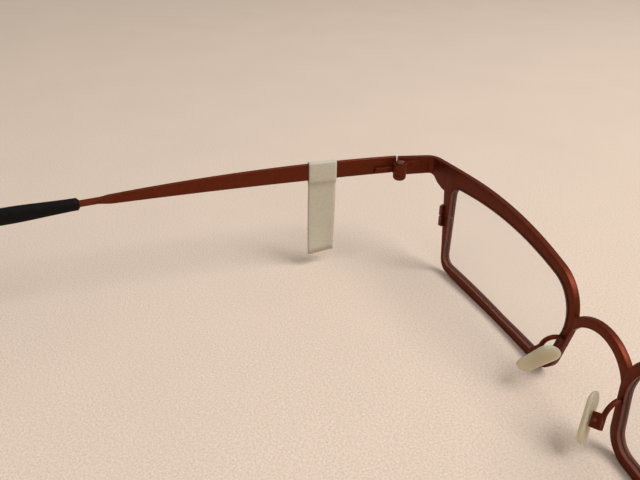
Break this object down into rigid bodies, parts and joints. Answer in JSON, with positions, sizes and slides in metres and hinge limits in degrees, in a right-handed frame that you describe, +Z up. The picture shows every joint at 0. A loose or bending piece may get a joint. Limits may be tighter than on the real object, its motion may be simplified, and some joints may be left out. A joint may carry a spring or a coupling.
{
  "type": "eyeglasses",
  "caption": "Full rim metal eyeglasses: flat sheet front, clear lenses, folding temples with black tips, rocking nose pads and a blank paper tag.",
  "frame": {"origin": "middle of the whole object's box, on the table that the rims and temple tips rest on", "axes": "+X to the wearer's left, +Y backwards along the temples, +Z up"},
  "size_m": [0.1348, 0.1526, 0.0304],
  "materials": {
    "frame_paint": "satin",
    "screw": "satin",
    "lens": "clear",
    "pad": "translucent",
    "tip": "matte",
    "paper": "matte"
  },
  "bodies": {
    "front": {"bridge": "frame_paint", "left_rim": "frame_paint", "right_rim": "frame_paint", "left_endpiece": "frame_paint", "right_endpiece": "frame_paint", "left_lens": "lens", "right_lens": "lens", "left_closing_block_upper": "frame_paint", "right_closing_block_upper": "frame_paint", "left_closing_block_lower": "frame_paint", "right_closing_block_lower": "frame_paint", "left_closing_screw": "screw", "right_closing_screw": "screw", "left_pad_arm": "frame_paint", "right_pad_arm": "frame_paint", "left_pad_box": "frame_paint", "right_pad_box": "frame_paint", "left_pad_screw": "screw", "right_pad_screw": "screw", "left_hinge_front": "frame_paint", "right_hinge_front": "frame_paint", "left_hinge_screw": "screw", "right_hinge_screw": "screw"},
    "left_arm": {"left_temple": "frame_paint", "left_temple_tip": "tip", "left_hinge_rear": "frame_paint", "lot_tag": "paper"},
    "right_arm": {"right_temple": "frame_paint", "right_temple_tip": "tip", "right_hinge_rear": "frame_paint"},
    "left_pad": {"left_nose_pad": "pad", "left_pad_core": "screw"},
    "right_pad": {"right_nose_pad": "pad", "right_pad_core": "screw"}
  },
  "joints": [
    {"name": "left_fold", "type": "hinge", "parent": "front", "child": "left_arm", "pos_m": [0.0632, -0.05859, 0.027], "axis": [0, 0, 1], "range_deg": [0, 90]},
    {"name": "right_fold", "type": "hinge", "parent": "front", "child": "right_arm", "pos_m": [-0.0632, -0.05859, 0.027], "axis": [0, 0, -1], "range_deg": [0, 76]},
    {"name": "left_pad_rock", "type": "hinge", "parent": "front", "child": "left_pad", "pos_m": [0.00959, -0.06935, 0.00783], "axis": [0.2923, 0.7412, 0.6044], "range_deg": [-6, 6]},
    {"name": "right_pad_rock", "type": "hinge", "parent": "front", "child": "right_pad", "pos_m": [-0.00959, -0.06935, 0.00783], "axis": [0.2923, -0.7412, -0.6044], "range_deg": [-6, 6]}
  ]
}
